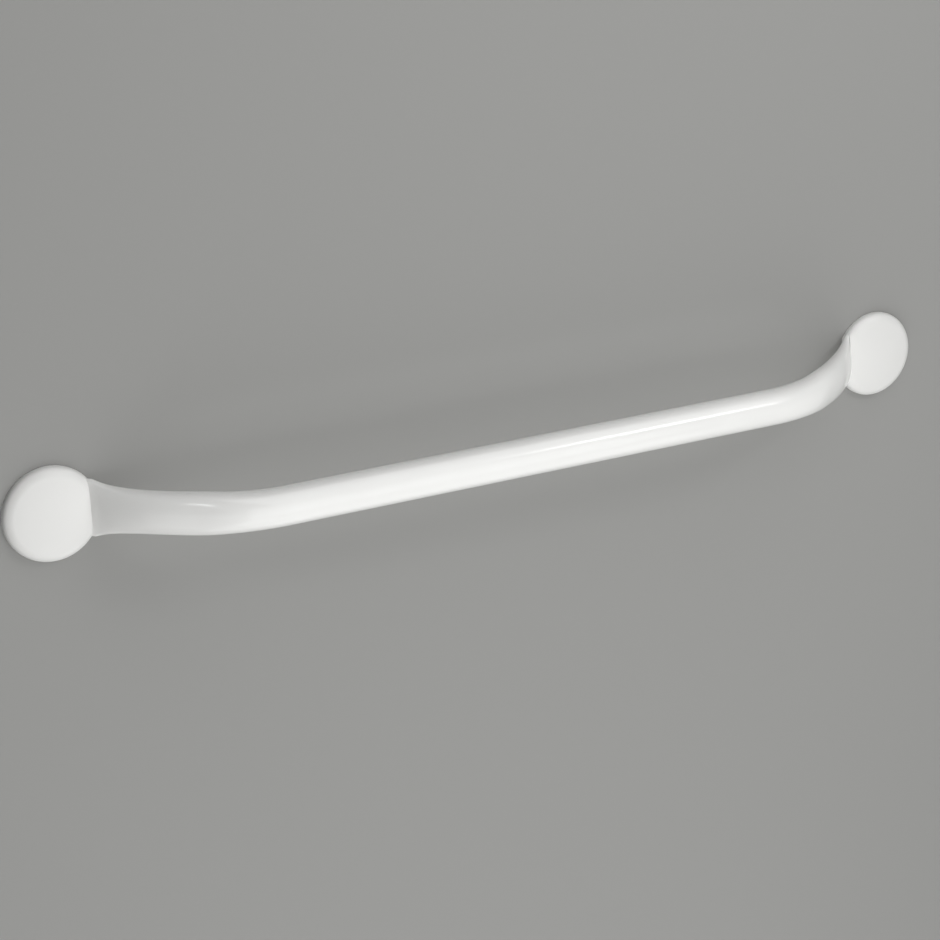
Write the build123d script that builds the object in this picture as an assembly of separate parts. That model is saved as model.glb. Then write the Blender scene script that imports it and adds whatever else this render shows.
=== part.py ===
from build123d import *
import os
from math import cos, exp, hypot, radians, sin, sqrt

os.makedirs("parts", exist_ok=True)

# Wall-mounted grab bar, in millimetres and degrees. X runs along the bar and Z is up. The wall is the plane
# Y = 0, the room is on the side of -Y, and the origin is on the wall midway between the two feet.

# Bar: one moulding from foot to foot
fixing_centres = 600.0  # between the middles of the two feet
standoff = 61.0  # from the wall to the middle of the bar
bar_radius = 12.0
top_bend_radius = 92.8  # of the middle line where the leg turns into the bar
top_bend_angle = 29.6
leg_bow_angle = 17.3  # further turn spread over the whole leg
root_height = 36.8  # the leg is a wide flat tongue at the foot
root_depth = 6.0
leg_height = 26.7  # and an upright oval further up
leg_depth = 19.5
flare_length = 12.4  # over which the tongue's width falls off
swell_length = 25.0  # over which its thickness grows
round_run = 16.0  # already round before the leg's loft ends

# Sections that the leg is lofted through
leg_stations = (0, 0.5, 1.1, 2, 3.5)  # up from the foot, in flare lengths
bend_stations = (0.67, 0.33)  # shares of the top bend, measured from the bar
run_stations = (1, 0.5, 0)  # shares of the round run

# Foot: round base of the bar, which the cover snaps over
foot_thickness = 5.0
flange_thickness = 2.0  # of the foot's edge that shows past the cover's straight side
flange_reach = 2.0  # past that side, until the leg hides it
chord_offset = 24.0  # from the foot's middle to the cover's straight side
leg_overlap = 0.6  # from that side to where the leg's front meets the cover's face
joint_gap = 0.25  # between the cover and the bar along that side
cover_clearance = 0.3
groove_clearance = 0.2
bead_end = 16.0  # from the foot's middle to where the bead and its groove stop, before the leg

# Cover: domed shell, which turns from its rim to its crown through a shoulder, a haunch and a crest
cover_radius = 30.0
cover_wall = 1.5
cover_edge = 1.0  # upright part of the rim at the wall
cover_room = 1.8  # from the level of the screw heads to the shell's crown
shoulder_turn = 50.0
haunch_turn = 28.0
haunch_radius = 10.0
bead_depth = 0.8
bead_rise = 0.8  # half of its height at the shell
bead_height = 2.0  # of its crest above the wall

# Screws: two in each foot, one above the other
screw_spacing = 30.0
screw_length = 50.0
screw_radius = 2.5  # over the thread, which starts at the wall
neck_radius = 2.0  # plain, between the thread and the head
tip_length = 7.0
tip_radius = 0.25
head_radius = 4.75
head_height = 3.0
head_rounding = 1.6
recess_span = 5.0
recess_width = 1.1
recess_depth = 1.7
hole_clearance = 0.3
seat_clearance = 0.75
seat_height = 3.0  # of the counterbore's floor above the wall

# Sizes that follow
cover_height = seat_height + head_height + cover_room + cover_wall
bead_ring = cover_radius - cover_wall
shoulder_end = radians(shoulder_turn)
haunch_end = radians(shoulder_turn + haunch_turn)
crest_rise = (1 - sin(haunch_end)) / cos(haunch_end)  # for each millimetre of its half width
haunch_width = haunch_radius * (cos(shoulder_end) - cos(haunch_end))
haunch_rise = haunch_radius * (sin(haunch_end) - sin(shoulder_end))
shoulder_rise = cover_height - cover_edge - haunch_rise - crest_rise * (cover_radius - haunch_width)
shoulder_radius = shoulder_rise / (sin(shoulder_end) - crest_rise * (1 - cos(shoulder_end)))
crest_width = cover_radius - shoulder_radius * (1 - cos(shoulder_end)) - haunch_width
crown_radius = crest_width / cos(haunch_end)
foot_x = fixing_centres / 2
room = fixing_centres  # edge of the blocks that cut and keep half spaces

# The right foot's own frame: X outwards along the wall, Y up, Z off the wall
foot_plane = Plane(origin=(foot_x, 0, 0), x_dir=(1, 0, 0), z_dir=(0, -1, 0))
standing = (Align.CENTER, Align.CENTER, Align.MIN)


def dome(inset):
    """Solid with the cover's outer form, or with a form parallel to it and inset by a distance."""
    top = cover_height - inset
    rim = cover_radius - inset
    edge = Line((rim, 0), (rim, cover_edge))
    shoulder = JernArc(edge @ 1, edge % 1, shoulder_radius - inset, shoulder_turn)
    haunch = JernArc(shoulder @ 1, shoulder % 1, haunch_radius - inset, haunch_turn)
    crest = TangentArc(haunch @ 1, (0, top), tangent=haunch % 1)
    profile = make_face([Line((0, 0), (rim, 0)), edge, shoulder, haunch, crest, Line((0, top), (0, 0))])
    return revolve(Plane.XZ * profile, Axis.Z)


def beyond_chord(offset):
    """Block on the bar's side of a straight cut, from the wall outwards, in the foot's frame."""
    return Pos(-offset, 0, 0) * Box(room, room, room, align=(Align.MAX, Align.CENTER, Align.MIN))


def oval(plane, half_height, half_depth):
    """Four-arc oval on a plane across the bar: height along the plane's X, depth along its Y."""
    diagonal = hypot(half_height, half_depth)
    tip = diagonal * (diagonal - half_height) / (half_height + half_depth - diagonal)
    join_x = half_height - tip + tip * half_depth / diagonal
    join_y = tip * half_height / diagonal
    upper = ThreePointArc((join_x, -join_y), (half_height, 0), (join_x, join_y))
    back = ThreePointArc((join_x, join_y), (0, half_depth), (-join_x, join_y))
    lower = ThreePointArc((-join_x, join_y), (-half_height, 0), (-join_x, -join_y))
    front = ThreePointArc((-join_x, -join_y), (0, -half_depth), (join_x, -join_y))
    return plane * make_face([upper, back, lower, front])


def across(edge, share):
    """Plane across an edge of the middle line, with Z up along its X."""
    return Plane(origin=edge @ share, x_dir=(0, 0, 1), z_dir=edge % share)


# Middle line of the right half, from the bar's straight run down to the foot. The leg's front comes out
# level with the cover's face near its straight side, which places the leg's lower end.
foot_slope = radians(top_bend_angle + leg_bow_angle)
top_slope = radians(top_bend_angle)
front_offset = chord_offset - leg_overlap
face_height = cover_height - crown_radius + sqrt(crown_radius**2 - front_offset**2)
exit_x = foot_x - front_offset - root_depth / 2 * sin(foot_slope)
exit_height = face_height - root_depth / 2 * cos(foot_slope)
top_drop = top_bend_radius * (1 - cos(top_slope))
leg_radius = (standoff - top_drop - exit_height) / (cos(top_slope) - cos(foot_slope))
leg_run = leg_radius * (sin(foot_slope) - sin(top_slope))
straight_half = exit_x - leg_run - top_bend_radius * sin(top_slope)

top_bend = JernArc((straight_half, -standoff), (1, 0), top_bend_radius, top_bend_angle)
leg_line = JernArc(top_bend @ 1, top_bend % 1, leg_radius, leg_bow_angle)
tongue_length = (exit_height + root_depth) / sin(foot_slope)
round_end = Line((straight_half - round_run, -standoff), (straight_half, -standoff))


def leg_section(distance):
    """Half height and half depth of the leg at a distance up from its lower end."""
    narrowing = exp(-distance / flare_length)
    swelling = (1 - exp(-distance / swell_length)) / (1 - exp(-leg_line.length / swell_length))
    half_height = leg_height / 2 + (root_height - leg_height) / 2 * narrowing
    half_depth = root_depth / 2 + (leg_depth - root_depth) / 2 * swelling
    return half_height, half_depth


def leg():
    """Right leg: lofted from the round bar down to its flat root, which goes on as a tongue into the foot."""
    sections = []
    for steps in leg_stations:
        distance = steps * flare_length
        sections.append((across(leg_line, 1 - distance / leg_line.length), *leg_section(distance)))
    half_height, half_depth = leg_section(leg_line.length)
    sections.append((across(leg_line, 0), half_height, half_depth))
    for share in bend_stations:
        swell = (half_height - bar_radius) * share**2
        thin = (half_depth - bar_radius) * share**2
        sections.append((across(top_bend, share), bar_radius + swell, bar_radius + thin))
    for share in run_stations:
        sections.append((across(round_end, share), bar_radius, bar_radius))
    ovals = [oval(*section) for section in sections]
    return loft(ovals) + extrude(ovals[0], tongue_length)


def leg_passage():
    """Straight passage a little wider than the leg's flat root, for the cover to clear."""
    half_height, half_depth = leg_section(0)
    opening = oval(across(leg_line, 1), half_height + joint_gap, half_depth + joint_gap)
    return extrude(opening, tongue_length, both=True)


def screw_places():
    """Places of one foot's screws in its own frame."""
    return [Pos(0, screw_spacing / 2, 0), Pos(0, -screw_spacing / 2, 0)]


def foot():
    """Round base under the cover, with the thin flange that shows past the cover's straight side."""
    base = dome(cover_wall + cover_clearance) - beyond_chord(chord_offset)
    flange = dome(0) & beyond_chord(chord_offset) - beyond_chord(chord_offset + flange_reach)
    base &= Box(room, room, foot_thickness, align=standing)
    return base + (flange & Box(room, room, flange_thickness, align=standing))


def bead(grow):
    """Bevelled ring inside the cover's rim, up to where the leg comes out, with its surface moved outwards."""
    crest = (bead_ring - bead_depth - grow, bead_height)
    below = (bead_ring + cover_wall / 2, bead_height - bead_rise - grow - cover_wall / 2)
    above = (bead_ring + cover_wall / 2, bead_height + bead_rise + grow + cover_wall / 2)
    profile = make_face(Polyline(crest, below, above, close=True))
    return revolve(Plane.XZ * profile, Axis.Z) - beyond_chord(bead_end + grow)


def screw_holes():
    """Through holes and counterbores of one foot."""
    hole = Cylinder(screw_radius + hole_clearance, foot_thickness, align=standing)
    hole += Pos(0, 0, seat_height) * Cylinder(head_radius + seat_clearance, foot_thickness, align=standing)
    return [place * hole for place in screw_places()]


def grip_bar():
    """The whole moulding: straight bar, two legs and two feet."""
    in_front_of_wall = Box(2 * room, room, room, align=standing)
    right = foot_plane * foot() + (leg() & foot_plane * in_front_of_wall)
    right -= [foot_plane * cut for cut in (bead(groove_clearance), *screw_holes())]
    run = 2 * (straight_half - round_run)
    middle = extrude(oval(across(round_end, 0), bar_radius, bar_radius), -run)
    return middle + right + mirror(right, about=Plane.YZ)


def cover():
    """Right cover: a domed shell with a bead inside, cut straight and then fitted over the leg."""
    shell = dome(0) - beyond_chord(chord_offset - joint_gap) - dome(cover_wall)
    shell += bead(0) & dome(cover_wall / 2)
    return foot_plane * shell - leg_passage()


def screw():
    """Pan-head screw along Z, its head seated at the counterbore's floor and its tip behind the wall."""
    head = Pos(0, 0, seat_height) * Cylinder(head_radius, head_height, align=standing)
    head = fillet(head.edges().group_by(Axis.Z)[-1], min(head_rounding, head_height - joint_gap))
    for angle in (0, 90):
        slot = Box(recess_span, recess_width, recess_depth, align=(Align.CENTER, Align.CENTER, Align.MAX))
        head -= Pos(0, 0, seat_height + head_height) * Rot(0, 0, angle) * slot
    neck = Cylinder(neck_radius, seat_height, align=standing)
    thread_length = screw_length - head_height - seat_height - tip_length
    thread = Pos(0, 0, -thread_length) * Cylinder(screw_radius, thread_length, align=standing)
    tip = Pos(0, 0, -thread_length - tip_length) * Cone(tip_radius, screw_radius, tip_length, align=standing)
    return head + neck + thread + tip


export_step(grip_bar(), "parts/grip_bar.step")

right_pieces = {"cover_cap": cover()}
for level, place in zip(("upper", "lower"), screw_places()):
    right_pieces[level + "_screw"] = foot_plane * place * screw()

for name, piece in right_pieces.items():
    export_step(piece, "parts/right_" + name + ".step")
    export_step(mirror(piece, about=Plane.YZ), "parts/left_" + name + ".step")
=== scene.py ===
import math

import bmesh
import bpy
from mathutils import Euler, Matrix, Vector


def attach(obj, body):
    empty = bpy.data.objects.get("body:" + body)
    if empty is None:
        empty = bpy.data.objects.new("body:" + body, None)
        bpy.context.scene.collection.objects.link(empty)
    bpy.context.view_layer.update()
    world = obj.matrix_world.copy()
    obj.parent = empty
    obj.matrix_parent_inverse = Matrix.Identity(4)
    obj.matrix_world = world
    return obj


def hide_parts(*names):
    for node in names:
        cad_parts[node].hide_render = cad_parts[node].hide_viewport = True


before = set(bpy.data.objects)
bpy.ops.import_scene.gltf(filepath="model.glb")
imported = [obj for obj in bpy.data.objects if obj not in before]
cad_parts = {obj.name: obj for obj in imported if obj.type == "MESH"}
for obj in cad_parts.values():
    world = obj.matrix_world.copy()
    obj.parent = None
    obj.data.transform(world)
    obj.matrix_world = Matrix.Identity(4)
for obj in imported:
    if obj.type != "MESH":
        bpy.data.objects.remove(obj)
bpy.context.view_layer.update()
scene = bpy.context.scene
scene.view_settings.view_transform = "Standard"

# Sizes in millimetres and degrees, the same as those of the solids
fixing_centres = 600.0  # between the middles of the two feet
standoff = 61.0  # from the wall to the middle of the bar
bar_radius = 12.0
top_bend_radius = 92.8  # of the middle line where the leg turns into the bar
top_bend_angle = 29.6
leg_bow_angle = 17.3  # further turn spread over the whole leg
root_height = 36.8  # the leg is a wide flat tongue at the foot
root_depth = 6.0
leg_height = 26.7  # and an upright oval further up
leg_depth = 19.5
flare_length = 12.4  # over which the tongue's width falls off
swell_length = 25.0  # over which its thickness grows
round_run = 16.0  # of the straight bar, on which the leg's curves end
leg_stations = (0, 0.5, 1.1, 2, 3.5)  # up from the foot, in flare lengths
bend_stations = (0.67, 0.33)  # shares of the top bend, measured from the bar
run_stations = (0, 0.5, 1)  # shares of the round run

foot_thickness = 5.0
flange_thickness = 2.0  # of the foot's edge that shows past the cover's straight side
flange_reach = 2.0  # past that side, until the leg hides it
chord_offset = 24.0  # from the foot's middle to the cover's straight side
leg_overlap = 0.6  # from that side to where the leg's front meets the cover's face
joint_gap = 0.25  # between the cover and the bar along that side
cover_clearance = 0.3
groove_clearance = 0.2
bead_end = 16.0  # from the foot's middle to where the bead and its groove stop, before the leg

cover_radius = 30.0
cover_height = 9.3
cover_wall = 1.5
cover_edge = 1.0  # upright part of the rim at the wall
shoulder_turn = 50.0
haunch_turn = 28.0
haunch_radius = 10.0
bead_depth = 0.8
bead_rise = 0.8  # half of its height at the shell
bead_height = 2.0  # of its crest above the wall

screw_spacing = 30.0
screw_length = 50.0
screw_radius = 2.5  # over the thread, which starts at the wall
neck_radius = 2.0  # plain, between the thread and the head
tip_length = 7.0
tip_radius = 0.25
head_radius = 4.75
head_height = 3.0
head_rounding = 1.6
recess_span = 5.0
recess_width = 1.1
recess_depth = 1.7
hole_clearance = 0.3
seat_clearance = 0.75
seat_height = 3.0  # of the counterbore's floor above the wall

# Details of the screws that the solids leave plain
core_radius = 1.7  # between the turns of the thread
thread_pitch = 2.2
ridge_share = 0.3  # half of a ridge's foot, as a share of the pitch
recess_taper = 0.7  # size of the recess's floor as a share of its mouth

# How finely the meshes are divided
oval_steps = 24  # on each of an oval's four arcs
bar_step = 6.0  # between the rings of the straight bar
bend_steps = 36
leg_steps = 72
turn_steps = 192  # round a cover
crown_steps = 40  # from the middle of a cover to its haunch
haunch_steps = 14
shoulder_steps = 20
screw_steps = 40  # round a screw
thread_steps = 14  # along one turn of the thread
rounding_steps = 10  # over the edge of a screw's head

# How the forms are joined, cut and shaded, in millimetres and degrees
far = 100.0  # reach of the blocks that cut and keep half spaces
spare = 1.0  # how far a form goes past the face where it is cut
seam = 0.05  # overlap of forms that are united
weld_reach = 0.001  # points this near to each other become one
moulded_crease = 35.0  # faces that meet at more than this keep a sharp edge
screw_crease = 40.0

# Sizes of the patterns in the materials, in millimetres
flow_size = 55.0
haze_size = 9.0
polish_size = 2.5
wire_mark_size = 0.6
wire_mark_length = 20.0  # in widths of a mark

# Camera and stage, in metres and degrees
lens = 87.515  # focal length and sensor are in millimetres
sensor = 36.0
camera_place = (-0.6481, -1.2439, 0.4907)
camera_turn = (69.634, 1.422, -27.329)
floor_height = -2.0
floor_half = 6.0
backdrop_half = 0.8
backdrop_gap = 0.0006  # behind the feet
sheet_corners = ((-1, -1), (1, -1), (1, 1), (-1, 1))  # in half widths of a sheet
lamp_aim = (0, -0.03, 0)  # between the wall and the bar
surround_tone = "#E4E4E2"  # of the world and the floor, where they are seen

# Sizes that follow
foot_x = fixing_centres / 2
shoulder_end = math.radians(shoulder_turn)
haunch_end = math.radians(shoulder_turn + haunch_turn)
crest_rise = (1 - math.sin(haunch_end)) / math.cos(haunch_end)  # for each millimetre of its half width
haunch_width = haunch_radius * (math.cos(shoulder_end) - math.cos(haunch_end))
haunch_rise = haunch_radius * (math.sin(haunch_end) - math.sin(shoulder_end))
shoulder_rise = cover_height - cover_edge - haunch_rise - crest_rise * (cover_radius - haunch_width)
shoulder_radius = shoulder_rise / (math.sin(shoulder_end) - crest_rise * (1 - math.cos(shoulder_end)))
crest_width = cover_radius - shoulder_radius * (1 - math.cos(shoulder_end)) - haunch_width
crown_radius = crest_width / math.cos(haunch_end)
bead_ring = cover_radius - cover_wall
bead_root = cover_wall / 4  # how far the bead goes into the cover's wall

top_slope = math.radians(top_bend_angle)
foot_slope = math.radians(top_bend_angle + leg_bow_angle)
front_offset = chord_offset - leg_overlap
face_height = cover_height - crown_radius + math.sqrt(crown_radius**2 - front_offset**2)
exit_x = foot_x - front_offset - root_depth / 2 * math.sin(foot_slope)
exit_height = face_height - root_depth / 2 * math.cos(foot_slope)
top_drop = top_bend_radius * (1 - math.cos(top_slope))
leg_radius = (standoff - top_drop - exit_height) / (math.cos(top_slope) - math.cos(foot_slope))
leg_run = leg_radius * (math.sin(foot_slope) - math.sin(top_slope))
straight_half = exit_x - leg_run - top_bend_radius * math.sin(top_slope)
leg_length = leg_radius * (foot_slope - top_slope)
bend_length = top_bend_radius * top_slope


def weld(mesh):
    """Merges points that lie very near to each other and turns the faces outwards."""
    shape = bmesh.new()
    shape.from_mesh(mesh)
    bmesh.ops.remove_doubles(shape, verts=shape.verts, dist=weld_reach / 1000)
    bmesh.ops.recalc_face_normals(shape, faces=shape.faces)
    shape.to_mesh(mesh)
    shape.free()


def new_object(name, points, faces):
    """Mesh object from points in millimetres."""
    mesh = bpy.data.meshes.new(name)
    mesh.from_pydata([[c / 1000 for c in point] for point in points], [], faces)
    weld(mesh)
    piece = bpy.data.objects.new(name, mesh)
    scene.collection.objects.link(piece)
    return piece


def skin(name, rings, closed=False):
    """Solid over rings of points: on to the first ring again, or with its two ends filled."""
    count = len(rings[0])
    points = [point for ring in rings for point in ring]
    faces = []
    for i in range(len(rings) if closed else len(rings) - 1):
        a = i * count
        b = (i + 1) % len(rings) * count
        for j in range(count):
            k = (j + 1) % count
            faces.append((a + j, a + k, b + k, b + j))
    if not closed:
        faces += [range(count), range(len(points) - count, len(points))]
    return new_object(name, points, faces)


def lathe(name, profile, z=0.0, steps=turn_steps, closed=False):
    """Solid turned about the right foot's own axis, or one beside it, from radii and heights off the wall."""
    turns = [2 * math.pi * j / steps for j in range(steps)]
    rings = [[(foot_x + r * math.cos(t), -h, z + r * math.sin(t)) for t in turns] for r, h in profile]
    return skin(name, rings, closed)


def block(near, away, low, high):
    """Block on the bar's side of the right foot, between two distances from its middle and two heights."""
    ends = [[(foot_x - d, -h, z) for h, z in ((low, -far), (high, -far), (high, far), (low, far))]
            for d in (near, away)]
    return skin("block", ends)


def carve(piece, tool, operation="DIFFERENCE"):
    """Cuts a tool from a piece, or unites or intersects them, and takes the tool away."""
    step = piece.modifiers.new("carve", "BOOLEAN")
    step.operation = operation
    step.solver = "MANIFOLD"
    step.object = tool
    bpy.context.view_layer.update()
    piece.data = bpy.data.meshes.new_from_object(piece.evaluated_get(bpy.context.evaluated_depsgraph_get()))
    piece.modifiers.clear()
    bpy.data.objects.remove(tool)
    return piece


def mirrored(name, piece):
    """Copy of a right-hand piece for the left."""
    copy = bpy.data.objects.new(name, piece.data.copy())
    copy.data.transform(Matrix.Scale(-1, 4, (1, 0, 0)))
    copy.data.flip_normals()
    scene.collection.objects.link(copy)
    return copy


def arc(centre, radius, start, end, steps):
    """Points of an arc from one angle to another, without the last."""
    angles = [start + (end - start) * i / steps for i in range(steps)]
    return [(centre[0] + radius * math.cos(a), centre[1] + radius * math.sin(a)) for a in angles]


def dome_profile(inset, low=0.0):
    """The cover's form from its crown to the wall or below, or a form parallel to it and inset."""
    shoulder = (cover_radius - shoulder_radius, cover_edge)
    reach = shoulder_radius - haunch_radius
    haunch = (shoulder[0] + reach * math.cos(shoulder_end), shoulder[1] + reach * math.sin(shoulder_end))
    crown = (0, cover_height - crown_radius)
    points = arc(crown, crown_radius - inset, math.pi / 2, haunch_end, crown_steps)
    points += arc(haunch, haunch_radius - inset, haunch_end, shoulder_end, haunch_steps)
    points += arc(shoulder, shoulder_radius - inset, shoulder_end, 0, shoulder_steps)
    return points + [(cover_radius - inset, cover_edge), (cover_radius - inset, low)]


def oval(half_height, half_depth):
    """Heights and depths round a four-arc oval."""
    diagonal = math.hypot(half_height, half_depth)
    tip = diagonal * (diagonal - half_height) / (half_height + half_depth - diagonal)
    side = diagonal * (diagonal - half_depth) / (half_height + half_depth - diagonal)
    turn = math.atan2(half_height, half_depth)  # of the tip's arc, from its middle to its end
    points = arc((half_height - tip, 0), tip, -turn, turn, oval_steps)
    points += arc((0, half_depth - side), side, turn, math.pi - turn, oval_steps)
    points += arc((tip - half_height, 0), tip, math.pi - turn, math.pi + turn, oval_steps)
    return points + arc((0, side - half_depth), side, math.pi + turn, 2 * math.pi - turn, oval_steps)


def section_ring(x, height, slope, half_height, half_depth):
    """Oval ring across the middle line."""
    points = oval(half_height, half_depth)
    return [(x + d * math.sin(slope), -height - d * math.cos(slope), z) for z, d in points]


def root_section(distance):
    """Half height and half depth of the leg at a distance up from its root."""
    swelling = (1 - math.exp(-distance / swell_length)) / (1 - math.exp(-leg_length / swell_length))
    half_height = leg_height / 2 + (root_height - leg_height) / 2 * math.exp(-distance / flare_length)
    return half_height, root_depth / 2 + (leg_depth - root_depth) / 2 * swelling


# Sections that the leg passes through, from its root up to the round bar
stations = [steps * flare_length for steps in leg_stations] + [leg_length]
sections = [root_section(distance) for distance in stations]
for share in bend_stations:
    stations.append(leg_length + bend_length * (1 - share))
    sections.append([bar_radius + (half - bar_radius) * share**2 for half in root_section(leg_length)])
for share in run_stations:
    stations.append(leg_length + bend_length + round_run * share)
    sections.append((bar_radius, bar_radius))


def smooth_section(distance):
    """Half height and half depth at a distance up from the root, on smooth curves through the sections."""
    i = max(n for n in range(len(stations) - 1) if n == 0 or stations[n] <= distance)
    gaps = [stations[n + 1] - stations[n] for n in range(len(stations) - 1)]
    t = (distance - stations[i]) / gaps[i]
    halves = []
    for k in (0, 1):
        rises = [(sections[n + 1][k] - sections[n][k]) / gaps[n] for n in range(len(gaps))]
        slopes = [(rises[n - 1] * gaps[n] + rises[n] * gaps[n - 1]) / (gaps[n - 1] + gaps[n])
                  for n in range(1, len(gaps))]
        slopes = [2 * rises[0] - slopes[0]] + slopes + [0]
        low, high = sections[i][k], sections[i + 1][k]
        out, into = slopes[i] * gaps[i], slopes[i + 1] * gaps[i]
        bend = 3 * (high - low) - 2 * out - into
        halves.append(low + out * t + bend * t**2 + (2 * (low - high) + out + into) * t**3)
    return halves


def grip_half():
    """Rings of the right half, from the bar's middle to the end of the leg's tongue."""
    rings = []
    straight_end = straight_half - round_run
    count = math.ceil(straight_end / bar_step)
    for i in range(count):
        rings.append(section_ring(straight_end * i / count, standoff, 0, bar_radius, bar_radius))
    for x in (straight_end, straight_end + round_run / 2):
        rings.append(section_ring(x, standoff, 0, bar_radius, bar_radius))
    for i in range(bend_steps):
        slope = top_slope * i / bend_steps
        x = straight_half + top_bend_radius * math.sin(slope)
        height = standoff - top_bend_radius * (1 - math.cos(slope))
        distance = leg_length + bend_length * (1 - i / bend_steps)
        rings.append(section_ring(x, height, slope, *smooth_section(distance)))
    for i in range(leg_steps + 1):
        slope = top_slope + (foot_slope - top_slope) * i / leg_steps
        x = exit_x - leg_radius * (math.sin(foot_slope) - math.sin(slope))
        height = exit_height + leg_radius * (math.cos(slope) - math.cos(foot_slope))
        rings.append(section_ring(x, height, slope, *smooth_section(leg_length * (1 - i / leg_steps))))
    # The tongue goes straight on past the wall
    rings.append([(x + (spare - y) / math.tan(foot_slope), spare, z) for x, y, z in rings[-1]])
    return rings


def bead(grow):
    """Bevelled ring inside the cover's rim, as far as the leg, with its surface moved outwards."""
    half = bead_rise + grow + bead_root
    profile = [(bead_ring - bead_depth - grow, bead_height)]
    profile += [(bead_ring + bead_root, bead_height + end) for end in (-half, half)]
    return carve(lathe("bead", profile, closed=True), block(bead_end + grow, far, -far, far))


def foot():
    """Round base under the cover, with its groove and screw holes and the thin flange past the cover."""
    base = lathe("foot", dome_profile(cover_wall + cover_clearance, -spare) + [(0, -spare)])
    carve(base, block(-far, chord_offset, -far, foot_thickness), "INTERSECT")
    carve(base, bead(groove_clearance))
    flange = lathe("flange", dome_profile(0, -spare) + [(0, -spare)])
    near, away = chord_offset - seam, chord_offset + flange_reach
    carve(flange, block(near, away, -far, flange_thickness), "INTERSECT")
    carve(base, flange, "UNION")
    hole, seat = screw_radius + hole_clearance, head_radius + seat_clearance
    for z in (-screw_spacing / 2, screw_spacing / 2):
        profile = [(0, -far), (hole, -far), (hole, seat_height), (seat, seat_height), (seat, far), (0, far)]
        carve(base, lathe("hole", profile, z, screw_steps))
    return base


def cover():
    """Right cover: a domed shell with a bead inside, cut straight and then fitted over the leg."""
    shell = lathe("right_moulded_cover", dome_profile(0) + dome_profile(cover_wall)[::-1])
    carve(shell, bead(0), "UNION")
    carve(shell, block(chord_offset - joint_gap, far, -far, far))
    passage = []
    for shift in (-far, far):
        x, height = exit_x + shift * math.cos(foot_slope), exit_height - shift * math.sin(foot_slope)
        halves = [half + joint_gap for half in root_section(0)]
        passage.append(section_ring(x, height, foot_slope, *halves))
    return carve(shell, skin("passage", passage))


# The left half mirrors the right one, and the ring in the middle is common to both
right_half = grip_half()
left_half = [[(-x, y, z) for x, y, z in ring] for ring in right_half[:0:-1]]
grip_bar = skin("moulded_grip", left_half + right_half)
right_foot = foot()
carve(grip_bar, mirrored("left_foot", right_foot), "UNION")
carve(grip_bar, right_foot, "UNION")
# The feet and tongues end at the wall
carve(grip_bar, block(-far, fixing_centres + far, -far, 0))
right_cover = cover()
left_cover = mirrored("left_moulded_cover", right_cover)


def screw(name, x, z):
    """Pan-head screw with a rolled thread, its head seated in the foot and its tip behind the wall."""
    head_top = seat_height + head_height
    thread_end = head_top - screw_length
    turns = [2 * math.pi * j / screw_steps for j in range(screw_steps)]
    rings = [[(x, -thread_end, z)] * screw_steps]
    count = math.ceil(-thread_end / thread_pitch * thread_steps)
    for i in range(count + 1):
        height = thread_end * (1 - i / count)
        taper = min(1, tip_radius / screw_radius + (height - thread_end) / tip_length)
        ring = []
        for turn in turns:
            phase = (-height / thread_pitch - turn / (2 * math.pi)) % 1
            ridge = max(0, 1 - abs(phase - 0.5) / ridge_share)
            r = taper * (core_radius + (screw_radius - core_radius) * ridge)
            ring.append((x + r * math.sin(turn), -height, z + r * math.cos(turn)))
        rings.append(ring)
    profile = [(neck_radius, 0), (neck_radius, seat_height), (head_radius, seat_height)]
    flat_top = head_radius - head_rounding
    profile += arc((flat_top, head_top - head_rounding), head_rounding, 0, math.pi / 2, rounding_steps)
    profile += [(flat_top, head_top), (0, head_top)]
    for r, height in profile:
        rings.append([(x + r * math.sin(t), -height, z + r * math.cos(t)) for t in turns])
    piece = skin(name, rings)
    # Cross recess, narrower at its floor
    for wide, narrow in ((recess_span, recess_width), (recess_width, recess_span)):
        slot = []
        for share, height in ((1, head_top + spare), (recess_taper, head_top - recess_depth)):
            w, n = wide / 2 * share, narrow / 2 * share
            corners = ((-w, -n), (w, -n), (w, n), (-w, n))
            slot.append([(x + across, -height, z + up) for across, up in corners])
        carve(piece, skin("recess", slot))
    return piece


def linear(code):
    """Linear colour with alpha 1 from an sRGB hex code."""
    parts = [int(code[i:i + 2], 16) / 255 for i in (1, 3, 5)]
    return [v / 12.92 if v <= 0.04045 else ((v + 0.055) / 1.055) ** 2.4 for v in parts] + [1]


def add(tree, kind, settings={}, links={}):
    """Adds a node, then sets its properties and inputs, and links outputs of other nodes to its inputs."""
    node = tree.nodes.new(kind)
    for name, value in settings.items():
        if isinstance(name, int) or name in node.inputs:
            node.inputs[name].default_value = value
        else:
            setattr(node, name, value)
    for name, output in links.items():
        tree.links.new(output, node.inputs[name])
    return node


def new_material(name):
    """Empty node material and its tree."""
    material = bpy.data.materials.new(name)
    material.use_nodes = True
    material.node_tree.nodes.clear()
    return material, material.node_tree


def per(size):
    """Scale of a pattern in metres whose features have a size in millimetres."""
    return 1000 / size


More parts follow.
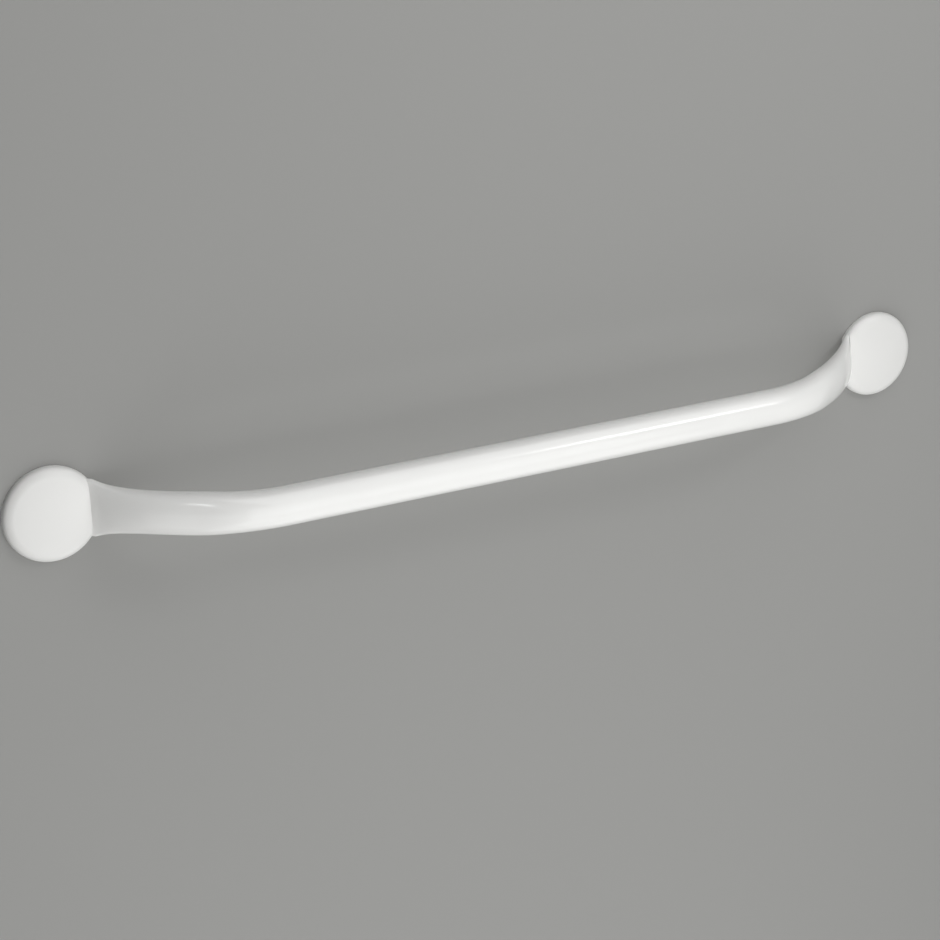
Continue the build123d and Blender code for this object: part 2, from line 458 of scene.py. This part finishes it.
def moulded_abs(name, pale, deep, smooth, hazy):
    """Gloss white ABS as it leaves a polished mould: clean and even, its shine broken a little by sink and
    flow, so the tone drifts by a shade over a hand's width and highlights have soft, faintly wavy edges."""
    material, tree = new_material(name)
    place = add(tree, "ShaderNodeTexCoord").outputs["Object"]
    flow = add(tree, "ShaderNodeTexNoise", {"Scale": per(flow_size), "Detail": 2.0}, {"Vector": place})
    tone = add(tree, "ShaderNodeMix", {"data_type": "RGBA", 6: linear(deep), 7: linear(pale)},
               {0: flow.outputs["Fac"]})
    haze = add(tree, "ShaderNodeTexNoise", {"Scale": per(haze_size), "Detail": 3.0}, {"Vector": place})
    gloss = add(tree, "ShaderNodeMapRange", {"To Min": smooth, "To Max": hazy},
                {"Value": haze.outputs["Fac"]})
    # The mould's polish is finer than this, and is drawn as coarse as it needs to show
    peel = add(tree, "ShaderNodeTexNoise", {"Scale": per(polish_size), "Detail": 1.0}, {"Vector": place})
    bump = add(tree, "ShaderNodeBump", {"Strength": 0.02, "Distance": 0.001}, {"Height": peel.outputs["Fac"]})
    shader = add(tree, "ShaderNodeBsdfPrincipled", {"IOR": 1.5},
                 {"Base Color": tone.outputs[2], "Roughness": gloss.outputs[0], "Normal": bump.outputs[0]})
    add(tree, "ShaderNodeOutputMaterial", {}, {"Surface": shader.outputs[0]})
    return material


def stainless_steel(name, pale, deep, smooth, hazy):
    """Bright stainless steel, cold headed and thread rolled: a greyish mirror, streaked along the wire."""
    material, tree = new_material(name)
    place = add(tree, "ShaderNodeTexCoord").outputs["Object"]
    # The wire's marks run along the screw, and are drawn as coarse as they need to show
    along = add(tree, "ShaderNodeMapping", {"Scale": (1, 1 / wire_mark_length, 1)}, {"Vector": place})
    marks = add(tree, "ShaderNodeTexNoise", {"Scale": per(wire_mark_size), "Detail": 2.0},
                {"Vector": along.outputs[0]})
    tone = add(tree, "ShaderNodeMix", {"data_type": "RGBA", 6: linear(deep), 7: linear(pale)},
               {0: marks.outputs["Fac"]})
    gloss = add(tree, "ShaderNodeMapRange", {"To Min": smooth, "To Max": hazy},
                {"Value": marks.outputs["Fac"]})
    shader = add(tree, "ShaderNodeBsdfPrincipled", {"Metallic": 1.0},
                 {"Base Color": tone.outputs[2], "Roughness": gloss.outputs[0]})
    add(tree, "ShaderNodeOutputMaterial", {}, {"Surface": shader.outputs[0]})
    return material


def place_piece(piece, node, material, crease):
    """Puts a finished piece in the place of its CAD node."""
    weld(piece.data)
    piece.data.materials.clear()
    piece.data.materials.append(material)
    piece.data.shade_smooth()
    piece.data.set_sharp_from_angle(angle=math.radians(crease))
    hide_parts(node)
    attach(piece, "root")


# The covers' mould is polished less, so they shine less than the bar
bar_abs = moulded_abs("moulded_bar_abs", "#ECECEA", "#E7E7E5", 0.12, 0.18)
cover_abs = moulded_abs("moulded_cover_abs", "#E0E0DE", "#DBDBD9", 0.34, 0.42)
screw_steel = stainless_steel("rolled_stainless_steel", "#C9C8C4", "#A9A8A4", 0.22, 0.38)
place_piece(grip_bar, "grip_bar", bar_abs, moulded_crease)
place_piece(left_cover, "left_cover_cap", cover_abs, moulded_crease)
place_piece(right_cover, "right_cover_cap", cover_abs, moulded_crease)
for side, x in (("left", -foot_x), ("right", foot_x)):
    for level, z in (("lower", -screw_spacing / 2), ("upper", screw_spacing / 2)):
        node = side + "_" + level + "_screw"
        place_piece(screw("threaded_" + node, x, z), node, screw_steel, screw_crease)

# Camera at the photograph's viewing angle
camera = bpy.data.objects.new("camera", bpy.data.cameras.new("camera"))
scene.collection.objects.link(camera)
scene.camera = camera
camera.data.sensor_width = sensor
camera.data.lens = lens
camera.location = camera_place
camera.rotation_euler = Euler([math.radians(a) for a in camera_turn])


def stage_sheet(name, corners, material):
    """Flat four-cornered sheet of the stage."""
    mesh = bpy.data.meshes.new(name)
    mesh.from_pydata(corners, [], [(0, 1, 2, 3)])
    mesh.materials.append(material)
    sheet = bpy.data.objects.new(name, mesh)
    scene.collection.objects.link(sheet)


def seen_rays(tree, path):
    """Number that is 1 for what is seen directly, mirrored or through glass."""
    seen = path.outputs["Is Camera Ray"]
    for kind in ("Is Glossy Ray", "Is Transmission Ray"):
        larger = add(tree, "ShaderNodeMath", {"operation": "MAXIMUM"}, {0: seen, 1: path.outputs[kind]})
        seen = larger.outputs[0]
    return seen


# The floor lies far below the lamps, so its own light makes it as pale as the surround where it is seen
floor_paint, tree = new_material("pale_floor_paint")
path = add(tree, "ShaderNodeLightPath")
seen = seen_rays(tree, path)
plain = add(tree, "ShaderNodeBsdfDiffuse", {"Color": linear("#D8D7D4")})
pale = add(tree, "ShaderNodeEmission", {"Color": linear(surround_tone), "Strength": 1.0})
mix = add(tree, "ShaderNodeMixShader", {}, {0: seen, 1: plain.outputs[0], 2: pale.outputs[0]})
add(tree, "ShaderNodeOutputMaterial", {}, {"Surface": mix.outputs[0]})
corners = [(x * floor_half, y * floor_half, floor_height) for x, y in sheet_corners]
stage_sheet("floor", corners, floor_paint)

# The backdrop is seen only from the front, so that views from behind show the part, and it lets the back
# lamp through. It is paler where it is seen than where it sends light back to the part.
backdrop_paint, tree = new_material("grey_backdrop_paint")
facing = add(tree, "ShaderNodeNewGeometry")
path = add(tree, "ShaderNodeLightPath")
seen = seen_rays(tree, path)
dark = add(tree, "ShaderNodeBsdfDiffuse", {"Color": linear("#4A4A49")})
grey = add(tree, "ShaderNodeBsdfDiffuse", {"Color": linear("#989896")})
front = add(tree, "ShaderNodeMixShader", {}, {0: seen, 1: dark.outputs[0], 2: grey.outputs[0]})
clear = add(tree, "ShaderNodeBsdfTransparent")
passed = add(tree, "ShaderNodeMath", {"operation": "MAXIMUM"},
             {0: facing.outputs["Backfacing"], 1: path.outputs["Is Shadow Ray"]})
mix = add(tree, "ShaderNodeMixShader", {}, {0: passed.outputs[0], 1: front.outputs[0], 2: clear.outputs[0]})
add(tree, "ShaderNodeOutputMaterial", {}, {"Surface": mix.outputs[0]})
corners = [(x * backdrop_half, backdrop_gap, z * backdrop_half) for x, z in sheet_corners]
stage_sheet("backdrop", corners, backdrop_paint)


def lamp(name, place, size, power):
    """Square soft lamp aimed at the bar, with its size in metres and its power in watts."""
    light = bpy.data.objects.new(name, bpy.data.lights.new(name, "AREA"))
    light.data.size = size
    light.data.energy = power
    light.location = place
    light.rotation_euler = (Vector(lamp_aim) - Vector(place)).to_track_quat("-Z", "Y").to_euler()
    scene.collection.objects.link(light)


lamp("front_lamp", (0.1, -1.2, 0), 1.2, 7.6)
lamp("top_lamp", (0.3, -0.6, 1.1), 1.3, 9.6)
lamp("low_lamp", (0.1, -0.6, -1.1), 1.4, 7.6)
lamp("left_lamp", (-0.8, -1.0, -0.8), 1.6, 6.4)
# Two small lamps draw the bright streaks along the bar and on the left leg
lamp("right_streak_lamp", (0.88, -1.11, 0.93), 0.3, 2.5)
lamp("left_streak_lamp", (-1.14, -0.99, 0.93), 0.15, 0.8)
# One behind the backdrop lights the backs of the feet
lamp("back_lamp", (0, 1.6, -0.25), 1.2, 20.0)

# A dim even light, with a pale surround where it is seen
world = bpy.data.worlds.new("studio")
scene.world = world
world.use_nodes = True
tree = world.node_tree
tree.nodes.clear()
path = add(tree, "ShaderNodeLightPath")
seen = seen_rays(tree, path)
dim = add(tree, "ShaderNodeBackground", {"Color": linear("#FFFFFF"), "Strength": 0.06})
pale = add(tree, "ShaderNodeBackground", {"Color": linear(surround_tone), "Strength": 1.0})
mix = add(tree, "ShaderNodeMixShader", {}, {0: seen, 1: dim.outputs[0], 2: pale.outputs[0]})
add(tree, "ShaderNodeOutputWorld", {}, {"Surface": mix.outputs[0]})
